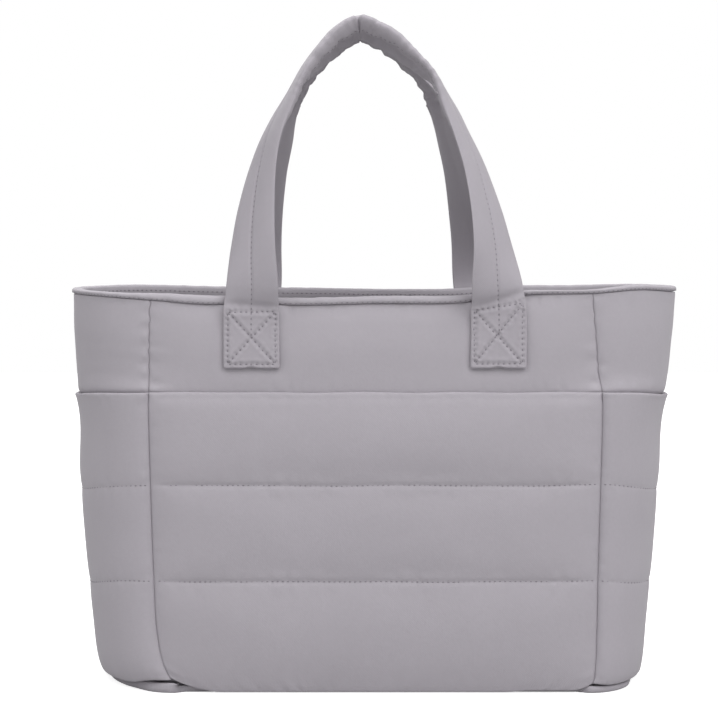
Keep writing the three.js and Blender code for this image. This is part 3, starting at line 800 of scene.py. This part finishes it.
def strap_line(kind):
    """The handle's middle line with its face and sideways directions and its sizes, finer at the tabs."""
    way = HANDLES[kind]
    table = {name: np.asarray(column, float) for name, column in HANDLE.items()}
    x, height = table["x"], table["z"]
    aside = way["shift"] * (1 - ease(height, LEG_MIDDLE, CROWN_FULL))
    shoulder = ease(height, LEG_START, CROWN_START) * (1 - ease(height, CROWN_START, CROWN_FULL))
    slack = way["slack"] * (x < 0) * ease(height, *SLACK_FROM) * (1 - ease(height, *SLACK_TO))
    table["x"] = x + aside - way["squeeze"] * x * shoulder - slack
    forward = TAB_FORWARD * (1 - ease(height, TAB_TOP, LEG_MIDDLE))
    table["y"] = table["y"] - forward + way["reach"] * ease(height, TAB_TOP, CROWN_TOP)
    knots = np.column_stack([table["x"], table["y"], table["z"]])
    travel = travelled(knots)
    table = {"travel": travel, **table}
    fine = np.linspace(0, travel[-1], 6000)
    step = 0.8 + 0.7 * ease(smooth_at(table, "z", fine), TAB_TOP + 8, TAB_TOP + 20)
    places = np.cumsum(1 / step) * fine[1]
    at = np.interp(np.linspace(places[0], places[-1], int(places[-1])), places, fine)
    middle = np.column_stack([smooth_at(table, name, at) for name in "xyz"])
    tangent = np.gradient(middle, at, axis=0)
    tangent /= np.linalg.norm(tangent, axis=1, keepdims=True)
    turn = np.radians(90 * (np.clip(smooth_at(table, "turn", at), 0, 90) / 90) ** way["lag"])[:, None]
    lean = math.radians(HANDLE_LEAN)
    front = np.array([0, -math.cos(lean), math.sin(lean)])
    facing = front - tangent * (tangent @ front)[:, None]
    facing /= np.linalg.norm(facing, axis=1, keepdims=True)
    face = facing * np.cos(turn) + np.cross(facing, tangent) * np.sin(turn)
    z = middle[:, 2]
    tab, crown = 1 - ease(z, TAB_TOP - 2, TAB_TOP + 10), ease(z, CROWN_START, CROWN_FULL)
    ends = np.minimum(at, at[-1] - at)
    fuller = 1 + FULLER_BY * way["full"] * ease(z, *FULLER_FROM)
    bent = np.tan(np.radians(np.clip(smooth_at(table, "fold", at), 0, 30)))
    columns = {
        "at": at, "height": z, "tab": tab, "crown": crown, "full": way["full"] * crown,
        "fold": bent * (0.7 + 0.3 * way["full"]),
        "slope": math.tan(math.radians(way["tilt"])) * ease(z, CROWN_FULL, CROWN_TOP),
        "thick": smooth_at(table, "thick", at) * fuller * (1 - 0.5 * np.exp(-ends / 0.9)),
        "half": bpy.context.scene.tote_sizes.strap_width / MM / 2 * (1 + 0.05 * tab),
        "right": (at > at[-1] / 2).astype(float),
    }
    line = {name: column[:, None] for name, column in columns.items()}
    return {**line, "middle": middle, "face": face, "wide": np.cross(face, tangent), "depth": way["depth"]}


def tab_seams(tab, half):
    """Ends of the sewn lines on a tab, as (sideways, height): its box and its cross."""
    edge, low, (left, right) = half - TAB_INSET, tab["foot"] + TAB_LOW, tab["top"]
    corners = [(-edge, low), (edge, low), (edge, right), (-edge, left)]
    return [(corners[a], corners[b]) for a, b in ((0, 1), (1, 2), (2, 3), (3, 0), (0, 2), (1, 3))]


def tab_dents(line, across):
    """Depth of the sewn lines in the tabs, in millimetres: dimpled at each stitch, with puffs beside them."""
    sizes = bpy.context.scene.tote_sizes
    pitch = (sizes.stitch_length + sizes.stitch_gap) / MM
    side = across * line["half"] * np.where(line["right"] > 0, 1, -1)
    total = 0
    for tab, here in zip(TABS, (1 - line["right"], line["right"])):
        for start, end in tab_seams(tab, line["half"][0, 0]):
            run, rise = end[0] - start[0], end[1] - start[1]
            length = math.hypot(run, rise)
            along = ((side - start[0]) * run + (line["height"] - start[1]) * rise) / length
            off = ((side - start[0]) * rise - (line["height"] - start[1]) * run) / length
            off = np.hypot(off, np.maximum(np.abs(along - length / 2) - length / 2, 0))
            beat = np.sin(np.pi * along / length * max(int(length / pitch), 1)) ** 2
            puff = 0.22 + 0.16 * uneven(along, 6, round(length))
            dent = here * (groove(off, 1.3) * (0.3 + 0.7 * beat) - puff * groove(off - 2.8, 1.4))
            total = np.where(np.abs(dent) > np.abs(total), dent, total)
    return total


def crown_seam(line, seed):
    """Where the sewn line runs under the crown, across the strap."""
    return CROWN_SEAM + 0.03 * uneven(line["at"], 22, seed + 5)


def strap_body(line, across):
    """Share of the thickness across the strap: round on the legs, square at the tabs and the front crown."""
    crown, tab, full = line["crown"], line["tab"], line["full"]
    square = 3 + 2 * crown + 4 * full + 7 * tab
    steep = 0.75 - 0.15 * crown - 0.12 * full - 0.27 * tab
    return (1 - np.abs(across) ** square) ** steep


def creases(line):
    """Depth of the creases that run over the front edge of the front handle's crown, in millimetres."""
    x = line["middle"][:, :1]
    folds = sum(depth * groove(x - place, 1.6) for place, depth in CREASES)
    return line["full"] * (folds + 0.7 * np.abs(uneven(line["at"], 11, SEEDS["creases"])))


def strap_top(line, across, seed):
    """Height of the strap's outer face above its middle, with its middle seam and the dip above each tab."""
    side, tab = across * line["half"], line["tab"]
    body = strap_body(line, across)
    dent = (0.3 * groove(side, 1.2) + 0.12 * groove(side, 6)) * (1 - 0.8 * tab)
    up = line["thick"] / 2 * (body - dent) + 0.2 * uneven(line["at"] + 5 * across, 40, seed) * body
    top = np.where(line["right"] > 0, RIGHT_TOP + RIGHT_SLANT * side, TABS[0]["top"][0])
    dip = DIP_DEPTH * groove(line["height"] - top - DIP_ABOVE, DIP_WIDTH) * (1 - np.abs(across) ** 6)
    up = up - tab_dents(line, across) - dip
    return up - 0.6 * creases(line) * ease(-across, 0, 0.8)


def strap_under(line, across, seed):
    """Height of the strap's inner face above its middle: gathered at the crown, behind a full front edge."""
    at, crown, x = line["at"], line["crown"], line["middle"][:, :1]
    body = strap_body(line, across)
    up = -line["thick"] / 2 * (0.9 * body - 0.2 * groove(across * line["half"], 5))
    crumple = 0.4 * uneven(at + 6 * across, 10, seed + 1) + 0.6 * uneven(at - 4 * across, 24, seed + 2)
    scallop = np.abs(np.sin(np.pi * (at + 4 * uneven(at, 50, seed + 3)) / 15))
    hang = 1.2 * np.abs(crumple) * body + 1.3 * scallop * (1 - np.abs(across) ** 8)
    hang = hang - (4.5 - 1.5 * line["full"]) * ease(across, -0.6, 0.2) * body
    slim = 4.5 * ease(x, -6, 30) + 2 * ease(-x, 15, 35)
    hang = hang - slim * line["full"] * ease(-across, 0.2, 0.5) * body
    roll = 1.2 * ease(-across, 0.56, 0.68) * (1 - np.abs(across) ** 10)
    seam = 0.6 * groove((across - crown_seam(line, seed)) * line["half"], 1)
    return up - crown * (hang + roll - seam)


def strap_points(line, across, up):
    """Points of the strap: across is -1 to 1 over its width, up is millimetres off its middle."""
    side = across * (line["half"] - creases(line) * ease(-across, 0.6, 1))
    side = side - 0.8 * up * line["full"] * ease(-across, 0.3, 1)
    up = up - np.abs(side) * line["fold"] - side * line["slope"]
    points = line["middle"][:, None] + line["wide"][:, None] * side[..., None]
    points = points + line["face"][:, None] * up[..., None]
    ends = np.minimum(line["at"], line["at"][-1] - line["at"])
    points[..., 2] += 1.1 * groove(side, 3.5) * np.exp(-ends / 3)
    return points * (1, line["depth"], 1)


def make_handle(kind):
    """A padded strap with a stitched middle line, sewn down at both ends and gathered at its top."""
    line, seed = strap_line(kind), SEEDS[f"{kind}_handle"]
    even = np.linspace(-1, 1, OUTSIDE_COLUMNS)[None]
    top = 0.65 * even + 0.35 * np.sin(even * np.pi / 2) + 0 * line["at"]
    under = np.linspace(1, -1, INSIDE_COLUMNS)[None, 1:-1] + 0 * line["at"]
    across = np.concatenate([top, under], 1)
    up = np.concatenate([strap_top(line, top, seed), strap_under(line, under, seed)], 1)
    aside = np.append(0 * top, 0 * under + 60, 1)
    flat = np.stack([across * line["half"] + aside, line["at"] + 0 * across], -1)
    piece = loft(f"{kind}_handle_cloth", strap_points(line, across, up), flat)
    dress(piece, "handle_cloth", f"{kind}_handle")


class TOTE_OT_handles(Operator):
    """Make the two padded handles"""
    bl_idname = "tote.handles"
    bl_label = "Padded Handles"

    def execute(self, context):
        for kind in HANDLES:
            make_handle(kind)
        return {"FINISHED"}


# Stitching

def one_stitch():
    """Points and faces of one stitch, modelled once, lying along Z."""
    sizes = bpy.context.scene.tote_sizes
    bpy.ops.object.select_all(action="DESELECT")
    bpy.ops.mesh.primitive_uv_sphere_add(segments=6, ring_count=4, radius=sizes.thread / 2)
    stitch = bpy.context.object
    bpy.ops.object.mode_set(mode="EDIT")
    bpy.ops.transform.resize(value=(1, 1, sizes.stitch_length / sizes.thread))
    bpy.ops.object.mode_set(mode="OBJECT")
    points = np.array([tuple(v.co) for v in stitch.data.vertices])
    faces = [tuple(p.vertices) for p in stitch.data.polygons]
    bpy.data.objects.remove(stitch)
    return points, faces


def sew(node, rows, stitch, slot, sunk=0.0):
    """Rows of stitches along paths in millimetres, seated on a node's cloth, as one object. Here and there
    the cloth closes over them, to sunk times the thread's thickness."""
    sizes = bpy.context.scene.tote_sizes
    tree = BVHTree.FromObject(bpy.data.objects[f"{node}_cloth"], bpy.context.evaluated_depsgraph_get())
    shape, shape_faces = stitch
    step = (sizes.stitch_length + sizes.stitch_gap) / MM
    points, faces = [], []
    for path in rows:
        travel = travelled(path)
        count = max(int(travel[-1] / step), 1)
        at = (np.arange(count) + 0.5) * travel[-1] / count
        ahead = along_path(path, travel, at + 0.8) - along_path(path, travel, at - 0.8)
        rise = sizes.thread * (0.04 - sunk * np.abs(uneven(at, 45, len(points))))
        for place, way, up in zip(along_path(path, travel, at) * MM, ahead, rise):
            seat, normal, _, _ = tree.find_nearest(Vector(place))
            side = normal.cross(Vector(way)).normalized()
            turn = np.array([side, normal, side.cross(normal)])
            faces += [tuple(v + len(points) * len(shape) for v in face) for face in shape_faces]
            points.append(shape @ turn + np.array(seat) + np.array(normal) * up)
    points = np.concatenate(points) / MM
    piece = new_piece(f"{node}_stitching", points, faces, points[:, :2] * MM)
    dress(piece, slot, material=thread())


def handle_rows(kind):
    """Paths of a handle's sewing: under its crown, along its middle, the box and cross of both tabs."""
    line, seed = strap_line(kind), SEEDS[f"{kind}_handle"]
    zero = 0 * line["at"]
    under = crown_seam(line, seed)
    middle = strap_points(line, zero, strap_top(line, zero, seed))[:, 0]
    crown = strap_points(line, under, strap_under(line, under, seed))[:, 0]
    rows = [crown[line["crown"][:, 0] > 0.6]]
    stitched = (line["height"] > STITCHED_FROM) & (line["height"] < STITCHED_TO)
    for leg in (0, 1):
        rows.append(middle[((line["right"] == leg) & stitched)[:, 0]])
    for tab, end in zip(TABS, (0, -1)):
        x, y = line["middle"][end, 0], (line["middle"][end, 1] - 1.3) * line["depth"]
        for ends in tab_seams(tab, line["half"][0, 0]):
            path = np.array([(x + side, y, height) for side, height in ends])
            rows.append(np.linspace(path[0], path[1], 12))
    return rows


class TOTE_OT_stitching(Operator):
    """Sew the quilting lines, the tabs, the straps and the rim"""
    bl_idname = "tote.stitching"
    bl_label = "Stitching"

    def execute(self, context):
        stitch = one_stitch()
        line = np.linspace(-SEWN_REACH, SEWN_REACH, 160)
        rows = [front_wall(line, level, front_pocket_inside(level, line) + POCKET_STITCHED)
                for level in POCKET_LINES]
        sew("front_pocket", rows, stitch, "pocket_cloth", QUILTING_SUNK)
        for node, facing in (("side_pocket_left", -1), ("side_pocket_right", 1)):
            out = SIDE_POCKET_SLIT + SIDE_POCKET_STITCHED
            rows = [side_wall(line, level, out, facing) for level in POCKET_LINES]
            sew(node, rows, stitch, "pocket_cloth", QUILTING_SUNK)
        rows = [front_wall(line, level, 0, -1) for level in BACK_LINES]
        sew("back_panel", rows, stitch, "body_cloth", QUILTING_SUNK)
        rows = [rim_path(out, 2)[1] + (0, 0, height) for out, height in RIM_SEWING]
        sew("rim_binding", rows, stitch, "binding_cloth")
        for kind in HANDLES:
            sew(f"{kind}_handle", handle_rows(kind), stitch, "handle_cloth")
        return {"FINISHED"}


# Stage

def area_light(name, place, aim, size, power):
    bpy.ops.object.light_add(type="AREA", location=place)
    lamp = bpy.context.object
    lamp.name = name
    lamp.rotation_euler = (Vector(aim) - Vector(place)).to_track_quat("-Z", "Y").to_euler()
    lamp.data.shape = "SQUARE"
    lamp.data.size = size
    lamp.data.energy = power


def paper(colour):
    """Pale paper, with a glow that only the camera sees, so that it shows white."""
    material = bpy.data.materials.new("pale_paper")
    material.use_nodes = True
    tree = material.node_tree
    shader = tree.nodes["Principled BSDF"]
    shader.inputs["Base Color"].default_value = (*colour, 1)
    shader.inputs["Roughness"].default_value = 0.8
    shader.inputs["Emission Strength"].default_value = FLOOR_GLOW
    seen = tree.nodes.new("ShaderNodeLightPath")
    link(tree, seen.outputs["Is Camera Ray"], shader.inputs["Emission Color"])
    return material


class TOTE_OT_stage(Operator):
    """Set the floor, the light and the camera"""
    bl_idname = "tote.stage"
    bl_label = "Stage"

    def execute(self, context):
        bpy.ops.object.select_all(action="DESELECT")
        bpy.ops.mesh.primitive_plane_add(size=6, location=(0, 0, 0))
        floor = context.object
        floor.name = "floor"
        floor.data.materials.append(paper(context.scene.tote_colours.floor))
        world = bpy.data.worlds.new("studio")
        world.use_nodes = True
        tree = world.node_tree
        sky = tree.nodes["Background"]
        sky.inputs["Color"].default_value = (1, 1, 1, 1)
        seen = tree.nodes.new("ShaderNodeLightPath")
        link(tree, maths(tree, "MAXIMUM", seen.outputs["Is Camera Ray"], SKY_LIGHT), sky.inputs["Strength"])
        context.scene.world = world
        context.scene.view_settings.view_transform = "Standard"
        for name, light in LIGHTS.items():
            area_light(name, **light)
        camera = bpy.data.objects.new("camera", bpy.data.cameras.new("camera"))
        context.collection.objects.link(camera)
        camera.location = CAMERA_PLACE
        camera.rotation_euler = (math.radians(90 - CAMERA_PITCH), 0, 0)
        camera.data.lens = FOCAL_PIXELS / IMAGE_PIXELS * SENSOR
        camera.data.sensor_width = SENSOR
        context.scene.camera = camera
        return {"FINISHED"}


# Add-on

class TOTE_PT_sewing(Panel):
    """The tote's pieces and their sizes"""
    bl_idname = "TOTE_PT_sewing"
    bl_label = "Padded Shoulder Tote"
    bl_space_type = "VIEW_3D"
    bl_region_type = "UI"
    bl_category = "Tote"

    def draw(self, context):
        for step in STEPS:
            self.layout.operator(step.bl_idname)
        for group in (context.scene.tote_sizes, context.scene.tote_colours):
            box = self.layout.box()
            for name in group.__annotations__:
                box.prop(group, name)


STEPS = (TOTE_OT_walls, TOTE_OT_base, TOTE_OT_pockets, TOTE_OT_rim, TOTE_OT_handles,
         TOTE_OT_stitching, TOTE_OT_stage)
CLASSES = (ToteSizes, ToteColours, *STEPS, TOTE_PT_sewing)


def register():
    for item in CLASSES:
        bpy.utils.register_class(item)
    bpy.types.Scene.tote_sizes = PointerProperty(type=ToteSizes)
    bpy.types.Scene.tote_colours = PointerProperty(type=ToteColours)


def unregister():
    del bpy.types.Scene.tote_sizes
    del bpy.types.Scene.tote_colours
    for item in reversed(CLASSES):
        bpy.utils.unregister_class(item)


def main():
    register()
    bpy.ops.tote.walls()
    bpy.ops.tote.base()
    bpy.ops.tote.pockets()
    bpy.ops.tote.rim()
    bpy.ops.tote.handles()
    bpy.ops.tote.stitching()
    bpy.ops.tote.stage()


if __name__ == "__main__":
    main()
